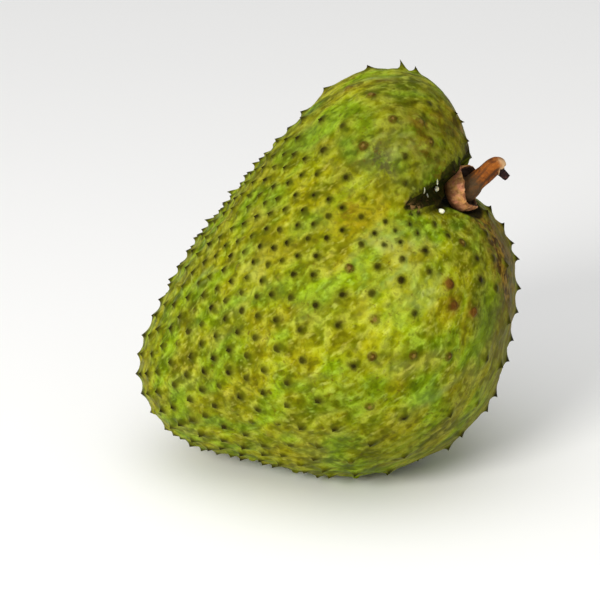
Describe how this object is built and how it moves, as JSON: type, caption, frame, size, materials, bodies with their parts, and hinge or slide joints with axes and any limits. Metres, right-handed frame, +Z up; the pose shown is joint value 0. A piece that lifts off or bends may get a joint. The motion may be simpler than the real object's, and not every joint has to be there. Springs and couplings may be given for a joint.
{
  "type": "soursop",
  "caption": "Whole heart-shaped soursop fruit as picked, lying on its side, with soft curved spines, a dried calyx cup and a short woody stem; rests on a small flat spot.",
  "frame": {"origin": "middle of the small flat spot that the fruit rests on", "axes": "+Z up; +X from the blunt distal tip towards the stem; the display side faces -Y"},
  "size_m": [0.1468, 0.1362, 0.1558],
  "materials": {
    "fruit_skin": "mottled yellow-green leathery skin with dark brown spine tips",
    "calyx_husk": "dry tan husk, matte",
    "stem_bark": "rough orange-brown bark, dark broken end"
  },
  "bodies": {
    "root": {"fruit": "fruit_skin", "calyx": "calyx_husk", "stem": "stem_bark"}
  },
  "joints": []
}
